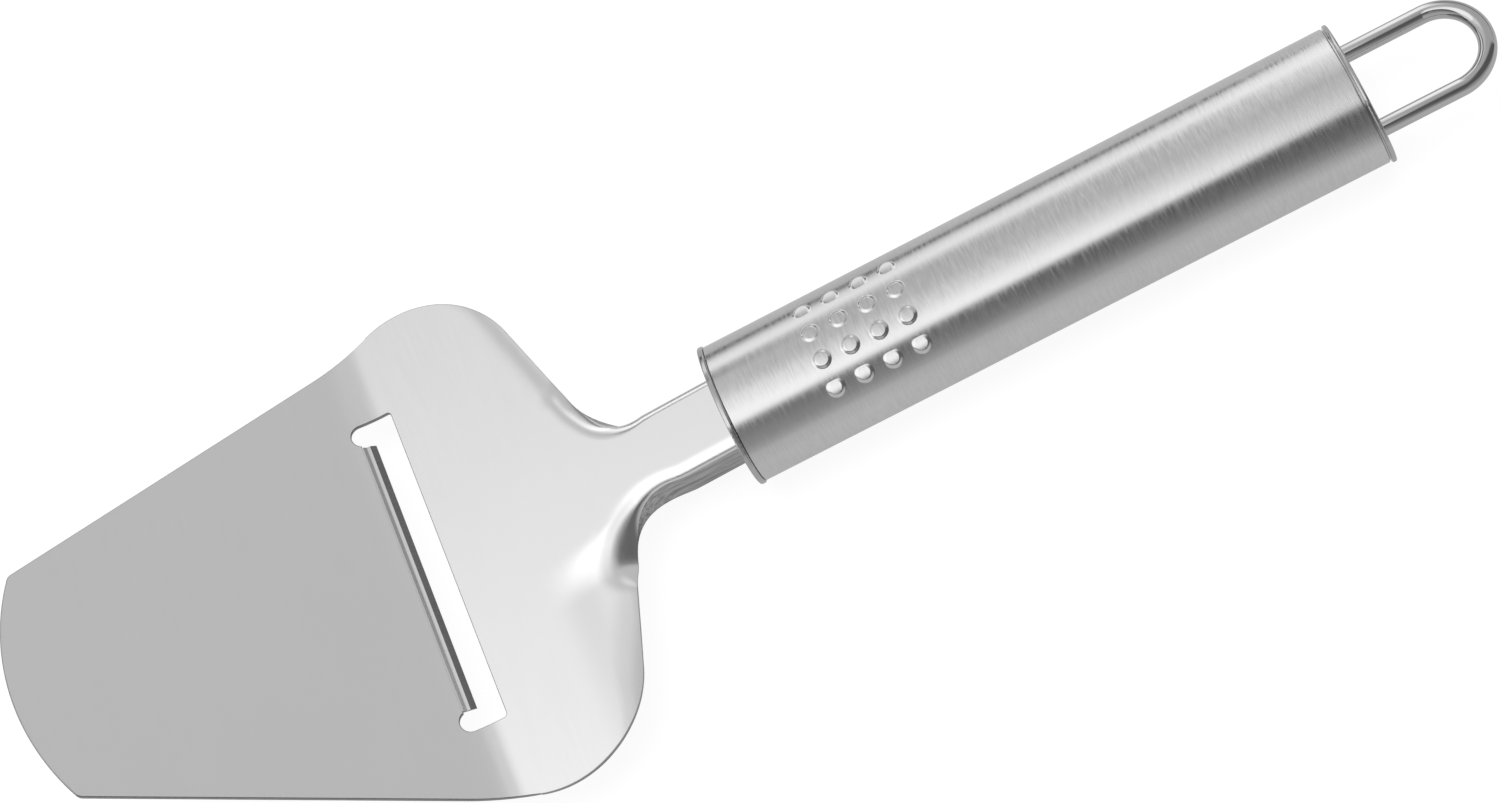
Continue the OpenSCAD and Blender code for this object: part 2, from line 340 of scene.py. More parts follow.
class MeshMaker:
    """Collects vertices, faces, a normal for each face corner and each face's finish."""

    def __init__(self) -> None:
        """Starts empty."""
        self.points: list[Sequence[float]] = []
        self.faces: list[list[int]] = []
        self.corners: list[list[Sequence[float] | None]] = []
        self.finishes: list[int] = []

    def point(self, place: Sequence[float]) -> int:
        """Adds a vertex, in millimetres, and returns its index."""
        self.points.append(tuple(place))
        return len(self.points) - 1

    def face(self, corners: Sequence[int], normals: Sequence[Sequence[float]] | None = None,
             finish: int = 0) -> None:
        """Adds a face, without the corners that fall together.

        Args:
            corners: Vertex indices, anticlockwise seen from outside.
            normals: A normal for each corner, or None for a flat face.
            finish: Index of its material.
        """
        kept = [k for k, corner in enumerate(corners) if corner != corners[k - 1]]
        if len(kept) < 3:
            return
        self.faces.append([corners[k] for k in kept])
        self.corners.append([None if normals is None else normals[k] for k in kept])
        self.finishes.append(int(finish))

    def grid(self, rows: Sequence[Sequence[int]], normals: Sequence[Sequence[Sequence[float]]] | None = None,
             flip: bool = False, finish: int = 0) -> None:
        """Adds the quads between rows of vertices.

        Args:
            rows: Rows of vertex indices, all of one length.
            normals: A normal for each vertex of each row, or None for flat faces.
            flip: Turns the faces over.
            finish: Index of their material.
        """
        for i in range(len(rows) - 1):
            for j in range(len(rows[i]) - 1):
                spots = [(i, j), (i, j + 1), (i + 1, j + 1), (i + 1, j)]
                if flip:
                    spots.reverse()
                self.face([rows[a][b] for a, b in spots],
                          [normals[a][b] for a, b in spots] if normals is not None else None, finish)

    def piece(self, name: str, materials: Sequence[bpy.types.Material]) -> bpy.types.Object:
        """Makes the object.

        Args:
            name: The object's name.
            materials: Its materials.

        Returns:
            The object, in metres, riding on the part's only body.
        """
        mesh = bpy.data.meshes.new(name)
        mesh.from_pydata([tuple(MM * c for c in p) for p in self.points], [], self.faces)
        mesh.polygons.foreach_set("use_smooth", [True] * len(mesh.polygons))
        mesh.polygons.foreach_set("material_index", self.finishes)
        mesh.update()
        loops: list[Sequence[float]] = []
        for polygon, normals in zip(mesh.polygons, self.corners):
            for normal in normals:
                loops.append(tuple(polygon.normal) if normal is None else tuple(normal))
        mesh.normals_split_custom_set(loops)
        for material in materials:
            mesh.materials.append(material)
        thing = bpy.data.objects.new(name, mesh)
        bpy.context.scene.collection.objects.link(thing)
        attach(thing, ROOT)
        return thing


def unit(v: np.ndarray) -> np.ndarray:
    """The vector, or each row's vector, scaled to length 1."""
    return v / np.maximum(np.linalg.norm(v, axis=-1, keepdims=True), 1e-12)


def ease(t: np.ndarray | float) -> np.ndarray | float:
    """0 where t is below 0, 1 where it is above 1, and a smooth curve between them."""
    t = np.clip(t, 0.0, 1.0)
    return t * t * (3 - 2 * t)


def smooth(value: float, low: float, high: float) -> float:
    """0 below low, 1 above high, and a smooth curve between them."""
    return float(ease((value - low) / (high - low)))


def key(a: float, y: float) -> FlatPoint:
    """The flat point, rounded so that one place always gives the same numbers."""
    return (round(float(a), 5), round(float(y), 5))


def in_sheet(points: np.ndarray, loops: Sequence[Sequence[FlatPoint]]) -> np.ndarray:
    """Tells which points lie in the sheet, by how often a ray from each crosses the outlines.

    Args:
        points: Flat points.
        loops: The outer outline, then each hole.

    Returns:
        A mask, true inside the outer outline and outside the holes.
    """
    a, y = points.T
    inside = np.zeros(len(points), bool)
    for loop in loops:
        for (a0, y0), (a1, y1) in zip(loop, [*loop[1:], loop[0]]):
            if y0 != y1:
                inside ^= (y >= min(y0, y1)) & (y < max(y0, y1)) & (a < a0 + (y - y0) * (a1 - a0) / (y1 - y0))
    return inside


@dataclass
class Layout:
    """Places that the pieces share, in millimetres in the part's frame.

    Attributes:
        tube_len: Length of the tube.
        middle: Distance from the tube's front end to the slicer's middle.
        axis_h: Height of the handle's axis.
    """

    tube_len: float = 108.0
    middle: float = 6.965
    axis_h: float = 8.55

    def from_handle(self, place: Sequence[float]) -> tuple[float, float, float]:
        """A point in the handle's axes, in the part's frame."""
        return (place[0] - self.middle, place[1], place[2] + self.axis_h)


@dataclass(frozen=True)
class Press:
    """How tightly one side of the neck is pressed over.

    Attributes:
        crown_r: Radius of the gentle turn along the neck.
        fold_r: Radius of the tight turn along the neck.
        widening: How much the tight turn's radius grows round the corner.
        extra: Further angle of the gentle turn along the neck, in degrees.
        early: How much earlier the gentle turn sets in along the neck.
    """

    crown_r: float
    fold_r: float
    widening: float
    extra: float
    early: float


@dataclass(frozen=True)
class Marks:
    """Distances run along the edge to the ends of the neck, of its corner and of the back edge."""

    neck: float
    corner: float
    back: float


@dataclass(frozen=True)
class Fold:
    """The turned-down edge of the sheet at one place, in millimetres and radians.

    Attributes:
        gentle_r: Radius of the gentle turn beside the flat.
        gentle: Angle of the gentle turn.
        late: How late it turns, as a power of the way through it.
        tight_r: Radius of the tight turn below it.
        tight: Angle of the tight turn.
        flank: Length of the straight flank down to the cut edge.
    """

    gentle_r: float
    gentle: float
    late: float
    tight_r: float
    tight: float
    flank: float

    def section(self) -> list[tuple[float, float]]:
        """Draws the fold's section.

        Returns:
            Distance outwards and height of each point, from the flat to the cut edge.
        """
        spots = [(0.0, 0.0)]
        step = self.gentle_r * self.gentle / GENTLE_STEPS
        for k in range(GENTLE_STEPS):
            turn = self.gentle * ((k + 0.5) / GENTLE_STEPS) ** self.late
            spots.append((spots[-1][0] + step * math.cos(turn), spots[-1][1] - step * math.sin(turn)))
        out, up = spots[-1]
        for k in range(1, TIGHT_STEPS + 1):
            turn = self.gentle + self.tight * k / TIGHT_STEPS
            spots.append((out + self.tight_r * (math.sin(turn) - math.sin(self.gentle)),
                          up + self.tight_r * (math.cos(turn) - math.cos(self.gentle))))
        out, up = spots[-1]
        turn = self.gentle + self.tight
        for k, share in enumerate(FLANK_SHARES, 1):
            down = self.flank * share + FLANK_GAP * k
            spots.append((out + down * math.cos(turn), up - down * math.sin(turn)))
        return spots


@dataclass
class Blade:
    """The pressed sheet: folded neck, rear plate, bend, front plate and cutting lip.

    Lengths are in millimetres, and angles in radians unless it says degrees. Plan coordinates
    (a, y) lie in the rear plate's top face, with a measured from the tube's front end towards the
    tip, along the sheet.

    Attributes:
        layout: The places that the pieces share.
        thick: Thickness of the sheet.
        seat_rise: Height of the neck's top over the handle's axis, at the tube's front end.
        seat_tilt: Slope of the rear plate down towards the tip.
        bend_at: Middle of the bend, along the sheet.
        bend_r: Radius of the bend.
        bend_angle: Angle between the plates.
        neck_half: Half of the neck's width.
        neck_h: Height of the neck's folded sides.
        near: How the side towards the photograph's view is pressed.
        far: How the other side is pressed.
        gentle_turn: Angle of the gentle turn along the neck, in degrees.
        back_less: How much smaller it is along the back edge, in degrees.
        corner_more: How much its radius grows round the corner.
        back_more: How much its radius grows along the back edge.
        late: How late it turns, as a power of the way through it.
        fade_len: Distance past the back edge over which it runs out.
        tight_turn: Angle of the tight turn along the neck, in degrees.
        corner_less: How much smaller it is round the corner, in degrees.
        folds_h: Height that the two turns take up.
        corner_run: Where the fold opens: from past the neck's end to past the corner's.
        back_run: Where it gives way to the back edge's: both past the corner's end.
        flank_run: Where the flank runs out: as corner_run.
        crease_y: Distance of the near side's crease from the middle, where the fillet starts.
        crease_slope: How much farther out it lies for each millimetre towards the tip.
        crease_w: Width of the crease.
        crease_depth: How much lower the sheet lies outside it.
        crease_start: Where it starts, past the fillet's start.
        crease_in: Length over which it gets its depth.
        crease_end: Where it has run out.
        crease_out: Length over which it runs out.
        tang: Length of the neck inside the tube.
        fillet_r: Radius between the neck and the back edge.
        back_slant: Angle of the back edge to the Y axis.
        shoulder_at: Place of the shoulder's centre.
        shoulder_r: Radius of the shoulder.
        half_w: Half of the blade's width.
        side_taper: Angle of the side edges to the handle.
        front_len: Length of the front plate past the bend.
        front_r: Radius of the front edge.
        corner_r: Radius of the front corners.
        slot_at: Where the slot starts.
        slot_w: Width of the slot.
        slot_half: Half of the slot's length.
        slot_r: Radius of the slot's corners.
        notch_w: Width of the round notches at the lip's ends.
        notch_depth: How far they reach into the front plate.
        lip_end_gap: Gap between the lip's ends and the notches.
        lip_back: How far past the slot's width the lip's root lies, towards the tip.
        lip_lap: How far past its root the lip's strip starts, on the front plate.
        lip_sink: How far below the plate's top face it starts.
        lip_heel: How much nearer to the handle its underside starts.
        lip_runs: Lengths of its flat start, its turn down, its fall and its turn out.
        step_slope: Slope of the fall, in degrees.
        land_slope: Slope of the land before the bevel, in degrees.
        land_len: Length of the land.
        bevel_len: Length of the ground bevel.
        bevel_slope: Slope of the bevel against the land.
        rim_w: Width of the broken corners of the free edges.
        pitch: Mesh size of the flat middle.
    """

    layout: Layout
    thick: float = 0.8
    seat_rise: float = 2.9
    seat_tilt: float = math.radians(3.0)
    bend_at: float = 56.9
    bend_r: float = 20.0
    bend_angle: float = math.radians(28.4)
    neck_half: float = 6.6
    neck_h: float = 7.5
    near: Press = Press(crown_r=6.0, fold_r=0.55, widening=6.5, extra=0.0, early=0.0)
    far: Press = Press(crown_r=2.0, fold_r=1.2, widening=2.0, extra=4.0, early=1.15)
    gentle_turn: float = 22.0
    back_less: float = 9.0
    corner_more: float = 6.0
    back_more: float = 11.0
    late: float = 1.5
    fade_len: float = 16.0
    tight_turn: float = 68.0
    corner_less: float = 50.0
    folds_h: float = 1.6
    corner_run: tuple[float, float] = (-2.0, 1.0)
    back_run: tuple[float, float] = (0.8, 5.5)
    flank_run: tuple[float, float] = (-2.0, -2.0)
    crease_y: float = 9.0
    crease_slope: float = 0.2
    crease_w: float = 8.0
    crease_depth: float = 0.66
    crease_start: float = 3.0
    crease_in: float = 9.0
    crease_end: float = 40.0
    crease_out: float = 13.0
    tang: float = 12.0
    fillet_r: float = 11.5
    back_slant: float = math.radians(17.5)
    shoulder_at: float = 45.5
    shoulder_r: float = 17.5
    half_w: float = 43.8
    side_taper: float = math.radians(19.0)
    front_len: float = 61.25
    front_r: float = 40.7
    corner_r: float = 1.6
    slot_at: float = 51.7
    slot_w: float = 5.9
    slot_half: float = 28.6
    slot_r: float = 0.6
    notch_w: float = 3.6
    notch_depth: float = 1.5
    lip_end_gap: float = 0.2
    lip_back: float = 0.4
    lip_lap: float = 0.6
    lip_sink: float = 0.02
    lip_heel: float = 0.3
    lip_runs: tuple[float, float, float, float] = (0.5, 0.3, 0.6, 0.2)
    step_slope: float = 52.0
    land_slope: float = 6.0
    land_len: float = 0.42
    bevel_len: float = 1.2
    bevel_slope: float = math.radians(40.0)
    rim_w: float = 0.14
    pitch: float = 1.1

    def __post_init__(self) -> None:
        """Works out the places that follow from the sizes."""
        self.s1 = self.bend_at - self.bend_r * self.bend_angle / 2
        self.s2 = self.s1 + self.bend_r * self.bend_angle
        cb, sb = math.cos(self.back_slant), math.sin(self.back_slant)
        self.shoulder_y = self.half_w - self.shoulder_r
        self.back_end = (self.shoulder_at - self.shoulder_r * cb, self.shoulder_y + self.shoulder_r * sb)
        self.fillet_y = self.neck_half + self.fillet_r
        self.fillet_a = self.back_end[0] - (self.fillet_r - (self.fillet_y - self.back_end[1]) * sb) / cb
        self.back_start = (self.fillet_a + self.fillet_r * cb, self.fillet_y - self.fillet_r * sb)
        ct, st = math.cos(self.side_taper), math.sin(self.side_taper)
        self.side_start = (self.shoulder_at + self.shoulder_r * st, self.shoulder_y + self.shoulder_r * ct)
        self.arc_a = self.s2 + self.front_len - self.front_r
        joint = self.side_start[1] - (self.s2 - self.side_start[0]) * math.tan(self.side_taper)
        lift = joint - self.corner_r / ct - (self.arc_a - self.s2) * math.tan(self.side_taper)
        run = math.sqrt((self.front_r - self.corner_r) ** 2 - (lift * ct) ** 2)
        self.corner = (self.arc_a + run * ct + lift * st * ct, lift * ct * ct - run * st)
        self.lip_half = self.slot_half - self.notch_w - self.lip_end_gap

    def rise(self, a: np.ndarray | float, y: np.ndarray | float, n: np.ndarray | float) -> np.ndarray:
        """Lays points of the flat sheet on the bent one.

        Args:
            a: Distance along the sheet from the tube's front end, towards the tip.
            y: Distance across.
            n: Height over the top face.

        Returns:
            Points in the part's frame.
        """
        a, y, n = np.broadcast_arrays(np.asarray(a, float), np.asarray(y, float), np.asarray(n, float))
        n = n - np.where(y > 0, 0.0, self.dish(a, -y))
        turn = np.clip((a - self.s1) / self.bend_r, 0.0, self.bend_angle)
        past = np.maximum(a - self.s2, 0.0)
        base = np.minimum(a, self.s1)
        across = base + (self.bend_r - n) * np.sin(turn) + past * np.cos(turn)
        up = self.bend_r - (self.bend_r - n) * np.cos(turn) + past * np.sin(turn)
        c, s = math.cos(self.seat_tilt), math.sin(self.seat_tilt)
        return np.stack([-across * c - up * s - self.layout.middle,
                         y,
                         -across * s + up * c + self.seat_rise + self.layout.axis_h], axis=-1)

    def dish(self, a: np.ndarray, y: np.ndarray) -> np.ndarray:
        """How far the sheet lies lower beside the crease in which the near side's fold runs out.

        Args:
            a: Distance along the sheet.
            y: Distance from the middle plane, on the near side.

        Returns:
            The depth.
        """
        crease = self.crease_y + self.crease_slope * (a - self.fillet_a)
        return (self.crease_depth * ease((y - crease) / self.crease_w + 0.5)
                * ease((a - self.fillet_a - self.crease_start) / self.crease_in)
                * ease((self.crease_end - a) / self.crease_out))

    def top_normals(self, places: np.ndarray) -> np.ndarray:
        """Normals of the bent sheet's top face at places (a, y, n)."""
        a, y, n = places.T
        nudge = 0.01
        along = self.rise(a + nudge, y, n) - self.rise(a - nudge, y, n)
        out = self.rise(a, y + nudge, n) - self.rise(a, y - nudge, n)
        return unit(np.cross(out, along))

    def edge_stations(self) -> list[Station]:
        """Stations along the outline of one side, from the neck's end in the handle to the bend.

        Returns:
            For each: a and y of the edge, a and y of the outward normal, and the distance run.
        """
        out: list[Station] = []
        run = 0.0

        def put(a: float, y: float, na: float, ny: float) -> None:
            """Adds a station after the last."""
            nonlocal run
            if out:
                run += math.hypot(a - out[-1][0], y - out[-1][1])
            out.append((a, y, na, ny, run))

        for i in range(NECK_STEPS + 1):
            put(-self.tang + (self.fillet_a + self.tang) * i / NECK_STEPS, self.neck_half, 0.0, 1.0)
        sweep = math.pi / 2 - self.back_slant
        for i in range(1, FILLET_STEPS + 1):
            turn = sweep * i / FILLET_STEPS
            na, ny = -math.sin(turn), math.cos(turn)
            put(self.fillet_a - na * self.fillet_r, self.fillet_y - ny * self.fillet_r, na, ny)
        for i in range(1, BACK_STEPS + 1):
            t = i / BACK_STEPS
            put(self.back_start[0] + (self.back_end[0] - self.back_start[0]) * t,
                self.back_start[1] + (self.back_end[1] - self.back_start[1]) * t,
                -math.cos(self.back_slant), math.sin(self.back_slant))
        first, last = -math.pi / 2 + self.back_slant, self.side_taper
        for i in range(1, SHOULDER_STEPS + 1):
            turn = first + (last - first) * i / SHOULDER_STEPS
            na, ny = math.sin(turn), math.cos(turn)
            put(self.shoulder_at + na * self.shoulder_r, self.shoulder_y + ny * self.shoulder_r, na, ny)
        return out

    def fold(self, run: float, marks: Marks, press: Press) -> Fold:
        """How the sheet turns down at one place of its edge.

        Args:
            run: Distance run along the edge.
            marks: Where the edge's stretches end.
            press: How tightly this side is pressed.

        Returns:
            The fold there.
        """
        corner = smooth(run, marks.neck + self.corner_run[0], marks.corner + self.corner_run[1])
        back = smooth(run, marks.corner + self.back_run[0], marks.corner + self.back_run[1])
        ended = smooth(run, marks.neck + self.flank_run[0], marks.corner + self.flank_run[1])
        fade = smooth(run, marks.back, marks.back + self.fade_len)
        gentle = self.gentle_turn - self.back_less * back + press.extra * (1.0 - corner)
        return Fold(gentle_r=press.crown_r + self.corner_more * corner + self.back_more * back,
                    gentle=max(math.radians(gentle) * (1.0 - fade), 1e-4),
                    late=self.late - press.early * (1.0 - corner),
                    tight_r=press.fold_r + press.widening * corner ** 3,
                    tight=math.radians(self.tight_turn - self.corner_less * corner) * (1.0 - back),
                    flank=(self.neck_h - self.folds_h) * (1.0 - ended))

    def build(self) -> bpy.types.Object:
        """Builds the whole blade.

        Returns:
            The blade's object.
        """
        maker = MeshMaker()
        stations = self.edge_stations()
        marks = Marks(*(stations[end][4] for end in accumulate((NECK_STEPS, FILLET_STEPS, BACK_STEPS))))
        borders: dict[int, list[EdgePair]] = {}
        for side, press in ((1, self.far), (-1, self.near)):
            rows = []
            for a, y, na, ny, run in stations:
                spots = self.fold(run, marks, press).section()
                reach = max(out for out, _ in spots)
                rows.append([(a + na * (out - reach), side * (y + ny * (out - reach)), n)
                             for out, n in spots])
            borders[side] = self.turned_edge(maker, np.array(rows), side)
        self.fill(maker, *self.plan(borders))
        self.lip(maker)
        return maker.piece("blade_sheet", [steel.material() for steel in
                                           (SATIN_SHEET, CUT_EDGE, GROUND_BEVEL_SHADED, DRAWN_SIDE_SHADED)])

    def turned_edge(self, maker: MeshMaker, rows: np.ndarray, side: int) -> list[EdgePair]:
        """Adds one side's turned-down edge, with its cut edge and the neck's end.

        Args:
            maker: Takes the faces.
            rows: Rows of places (a, y, n) across it, from the flat outwards.
            side: 1 on the side of +Y, -1 on the other.

        Returns:
            Along the flat: top vertex, underside vertex and flat point.
        """
        high = self.rise(rows[..., 0], rows[..., 1], rows[..., 2])
        normals = unit(np.cross(np.gradient(high, axis=0), np.gradient(high, axis=1))) * (-side)
        normals[:, 0] = self.top_normals(rows[:, 0])
        tops, bottoms = [], []
        for top, low in zip(high, high - normals * self.thick):
            tops.append([maker.point(p) for p in top])
            bottoms.append([maker.point(p) for p in low])
        turned = GENTLE_STEPS + TIGHT_STEPS
        # The flank columns take the drawn finish, whose dark tone is painted shade.
        for part, finish in ((slice(turned + 1), Face.SATIN), (slice(turned, -1), Face.DRAWN_SHADED),
                             (slice(-2, None), Face.SHEARED)):
            maker.grid([row[part] for row in tops], normals[:, part].tolist(), flip=side < 0, finish=finish)
        maker.grid(bottoms, (-normals).tolist(), flip=side > 0)
        rim = [(top[-1], low[-1], up[-1]) for top, low, up in zip(tops, bottoms, normals)]
        for edge in (rim, list(zip(tops[0], bottoms[0], normals[0]))):
            self.wall(maker, edge, flip=side < 0)
        return [(top[0], low[0], row[0]) for top, low, row in zip(tops, bottoms, rows)]

    def wall(self, maker: MeshMaker, ring: Sequence[EdgePair], flip: bool) -> None:
        """Adds a cut edge between top and underside, shaded as if its corners were broken.

        Args:
            maker: Takes the faces.
            ring: Top vertex, underside vertex and top normal along the edge.
            flip: Turns the faces over.
        """
        tops, bottoms, ups = zip(*ring)
        ups = np.array(ups)
        along = unit(np.gradient(np.array([maker.points[top] for top in tops]), axis=0))
        outs = unit(np.cross(along, ups)) * (-1.0 if flip else 1.0)
        normals = [unit(outs + EDGE_LEAN * ups).tolist(), unit(outs - EDGE_LEAN * ups).tolist()]
        maker.grid([tops, bottoms], normals, flip=not flip, finish=Face.SHEARED)

    def plan(self, borders: dict[int, list[EdgePair]]) -> tuple[list[list[FlatPoint]], Known]:
        """Outlines of the sheet's flat middle.

        Args:
            borders: Along each turned-down edge: top vertex, underside vertex and flat point.

        Returns:
            Loops of flat points, and the vertices that some of them already have.
        """
        far = []
        start = self.side_start
        ct, st = math.cos(self.side_taper), math.sin(self.side_taper)
        side_end = (self.corner[0] + self.corner_r * st, self.corner[1] + self.corner_r * ct)
        for i in range(1, SIDE_STEPS + 1):
            t = i / SIDE_STEPS
            far.append((start[0] + (side_end[0] - start[0]) * t, start[1] + (side_end[1] - start[1]) * t))
        tilt = math.atan2(self.corner[1], self.corner[0] - self.arc_a)
        first = math.pi / 2 - self.side_taper
        for i in range(1, CORNER_STEPS + 1):
            turn = first + (tilt - first) * i / CORNER_STEPS
            far.append((self.corner[0] + self.corner_r * math.cos(turn),
                        self.corner[1] + self.corner_r * math.sin(turn)))
        for i in range(1, FRONT_STEPS):
            turn = tilt * (1 - i / FRONT_STEPS)
            far.append((self.arc_a + self.front_r * math.cos(turn), self.front_r * math.sin(turn)))
        fixed = {key(*spot[:2]): (top, low) for border in borders.values() for top, low, spot in border}
        loop = [key(*spot[:2]) for _, _, spot in borders[1]]
        loop += [key(a, y) for a, y in far]
        loop.append(key(self.arc_a + self.front_r, 0.0))
        loop += [key(a, -y) for a, y in reversed(far)]
        loop += [key(*spot[:2]) for _, _, spot in reversed(borders[-1])]
        return [loop, self.slot_loop()], fixed

    def slot_loop(self) -> list[FlatPoint]:
        """Outline of the cutting slot, with a round notch at each end of the lip.

        Returns:
            Flat points round the slot.
        """
        ball, half, r, rear = self.notch_w / 2, self.slot_half, self.slot_r, self.slot_at
        centre = (rear + self.slot_w + self.notch_depth - ball, half - ball)
        root = rear + self.slot_w + self.lip_back
        last = math.pi - math.asin((root - centre[0]) / ball)
        side: list[FlatPoint] = [(rear, 0.0)]
        side += [(rear, y) for y in np.arange(1.0, half - r, 1.0)]
        side += [(rear + r - r * math.cos(t), half - r + r * math.sin(t))
                 for t in np.linspace(0, math.pi / 2, SLOT_CORNER_POINTS)]
        side += [(rear + r + (centre[0] - rear - r) * t, half) for t in (0.25, 0.5, 0.75)]
        side += [(centre[0] + ball * math.sin(t), centre[1] + ball * math.cos(t))
                 for t in np.linspace(0, last, NOTCH_POINTS)]
        side += [(root, y) for y in np.arange(math.floor(side[-1][1] - LEAST_GAP), 0.0, -1.0)]
        side.append((root, 0.0))
        mirrored = [(a, -y) for a, y in reversed(side) if abs(y) > 1e-9]
        return [key(a, y) for a, y in side + mirrored]

    def fill(self, maker: MeshMaker, outlines: Sequence[Sequence[FlatPoint]], fixed: Known) -> None:
        """Fills the flat middle with triangles, on both faces, and closes its free edges.

        Args:
            maker: Takes the faces.
            outlines: The outer outline, then each hole.
            fixed: Vertices, top and underside, that points of the outline already have.
        """
        spots: list[FlatPoint] = []
        edges: list[tuple[int, int]] = []
        loops = [self.inset(outline, fixed, hole=k > 0) for k, outline in enumerate(outlines)]
        for loop in loops:
            base = len(spots)
            spots += list(loop)
            edges += [(base + i, base + (i + 1) % len(loop)) for i in range(len(loop))]
        ring = np.array(spots)
        steps = []
        for i, a in enumerate(np.arange(-self.tang + MIDDLE_INSET, self.arc_a + self.front_r, self.pitch)):
            shift = self.pitch / 2 * (i % 2)
            steps += [(a, y) for y in np.arange(-self.half_w + shift, self.half_w, self.pitch)]
        grid = np.array(steps)
        grid = grid[in_sheet(grid, loops)]
        gap = np.min(np.linalg.norm(grid[:, None, :] - ring[None, :, :], axis=2), axis=1)
        spots += [(float(a), float(y)) for a, y in grid[gap > self.pitch / 2]]
        out = delaunay_2d_cdt([Vector(p) for p in spots], edges, [], 0, 1e-6)
        flat = np.array([(v.x, v.y) for v in out[0]])
        tris = np.array(out[2])
        tris = tris[in_sheet(flat[tris].mean(axis=1), loops)]
        places = np.column_stack([flat, np.zeros(len(flat))])
        normals = self.top_normals(places)
        index: dict[FlatPoint, int] = {}
        tops, bottoms = [], []
        for i, (spot, up) in enumerate(zip(self.rise(*places.T), normals)):
            index[key(*flat[i])] = i
            pair = fixed.get(key(*flat[i])) or (maker.point(spot), maker.point(spot - up * self.thick))
            tops.append(pair[0])
            bottoms.append(pair[1])
        for a, b, c in tris:
            (da, dy), (ea, ey) = flat[b] - flat[a], flat[c] - flat[a]
            if da * ey - dy * ea > 0:
                b, c = c, b
            maker.face([tops[i] for i in (a, b, c)], [normals[i] for i in (a, b, c)])
            maker.face([bottoms[i] for i in (a, c, b)], [-normals[i] for i in (a, c, b)])
        for k, (loop, outline) in enumerate(zip(loops, outlines)):
            if k == 0:
                free = [i for i, p in enumerate(outline) if p not in fixed]
                span = range(free[0] - 1, free[-1] + 2)
                ends = [index[outline[-1]], index[outline[0]]]
                self.wall(maker, [(tops[i], bottoms[i], normals[i]) for i in ends], flip=False)
            else:
                span = [*range(len(loop)), 0]
            chosen = [index[loop[i]] for i in span]
            ring = [(tops[i], bottoms[i], normals[i]) for i in chosen]
            self.broken_edge(maker, ring, [outline[i] for i in span], fixed, flip=k > 0)

    def inset(self, loop: Sequence[FlatPoint], fixed: Known, hole: bool) -> list[FlatPoint]:
        """Moves the free points of an outline into the sheet by the width of its broken edge.

        Args:
            loop: The outline.
            fixed: Points that stay.
            hole: True where the sheet lies outside the outline.

        Returns:
            The moved outline.
        """
        ring = np.array(loop)
        after = np.roll(ring, -1, axis=0)
        along = unit(after - np.roll(ring, 1, axis=0))
        area = float(np.sum(ring[:, 0] * after[:, 1] - after[:, 0] * ring[:, 1]))
        side = math.copysign(self.rim_w, area) * (-1.0 if hole else 1.0)
        moved = ring + np.stack([-along[:, 1], along[:, 0]], axis=1) * side
        return [old if old in fixed else key(*new) for old, new in zip(loop, moved)]

    def broken_edge(self, maker: MeshMaker, ring: Sequence[EdgePair], places: Sequence[FlatPoint],
                    fixed: Known, flip: bool) -> None:
        """Adds a free cut edge with both corners broken.

        Args:
            maker: Takes the faces.
            ring: Top vertex, underside vertex and top normal beside the edge.
            places: Flat points of the edge itself.
            fixed: Vertices that some of them already have.
            flip: Turns the faces over.
        """
        high, low = [], []
        for (top, bottom, up), place in zip(ring, places):
            if place in fixed:
                high.append(top)
                low.append(bottom)
                continue
            spot = self.rise(*place, 0.0)
            high.append(maker.point(spot - up * self.rim_w))
            low.append(maker.point(spot - up * (self.thick - self.rim_w)))
        tops, bottoms, ups = zip(*ring)
        ups = np.array(ups)
        along = unit(np.gradient(np.array([maker.points[i] for i in high]), axis=0))
        outs = unit(np.cross(along, ups)) * (-1.0 if flip else 1.0)
        normals = [unit(n).tolist() for n in (ups + RIM_LEAN * outs, outs + LAND_LEAN * ups,
                                              outs - LAND_LEAN * ups, RIM_LEAN * outs - ups)]
        maker.grid([tops, high, low, bottoms], normals, flip=not flip, finish=Face.SHEARED)

    def lip(self, maker: MeshMaker) -> None:
        """Adds the cutting lip: stepped down into the slot, then ground to an edge.

        Args:
            maker: Takes the faces.
        """
        start = self.slot_at + self.slot_w + self.lip_back + self.lip_lap
        nudge = 0.1
        place, ahead = self.rise(start, 0.0, 0.0), self.rise(start - nudge, 0.0, 0.0)
        slope = math.atan2(place[2] - ahead[2], ahead[0] - place[0])
        step, land = math.radians(self.step_slope), math.radians(self.land_slope)
        bevel = land + self.bevel_slope
        slopes = ((slope, slope), (slope, step), (step, step), (step, land), (land, land))
        spot = np.array([place[0], place[2] - self.lip_sink])
        profile: list[tuple[np.ndarray, float]] = [(spot, slope)]
        for length, (before, after) in zip((*self.lip_runs, self.land_len), slopes):
            for k in range(1, LIP_STEPS + 1):
                way = before + (after - before) * k / LIP_STEPS
                spot = spot + np.array([math.cos(way), -math.sin(way)]) * length / LIP_STEPS
                profile.append((spot, way))
        edge = spot + np.array([math.cos(bevel), -math.sin(bevel)]) * self.bevel_len
        heel = np.array([place[0] + self.lip_heel, place[2] - self.thick])
        under = math.pi + math.atan2(heel[1] - edge[1], edge[0] - heel[0])
        self.strip(maker, profile, Face.SATIN)
        # The bevel takes the ground finish, whose dark tone is painted shade.
        self.strip(maker, [(spot, bevel), (edge, bevel)], Face.GROUND_SHADED)
        self.strip(maker, [(edge, under), (heel, under)], Face.SATIN)
        for y, order in ((self.lip_half, 1), (-self.lip_half, -1)):
            ring = [maker.point((p[0], y, p[1])) for p in (*(p for p, _ in profile), edge, heel)]
            maker.face(ring[::order], finish=Face.SHEARED)

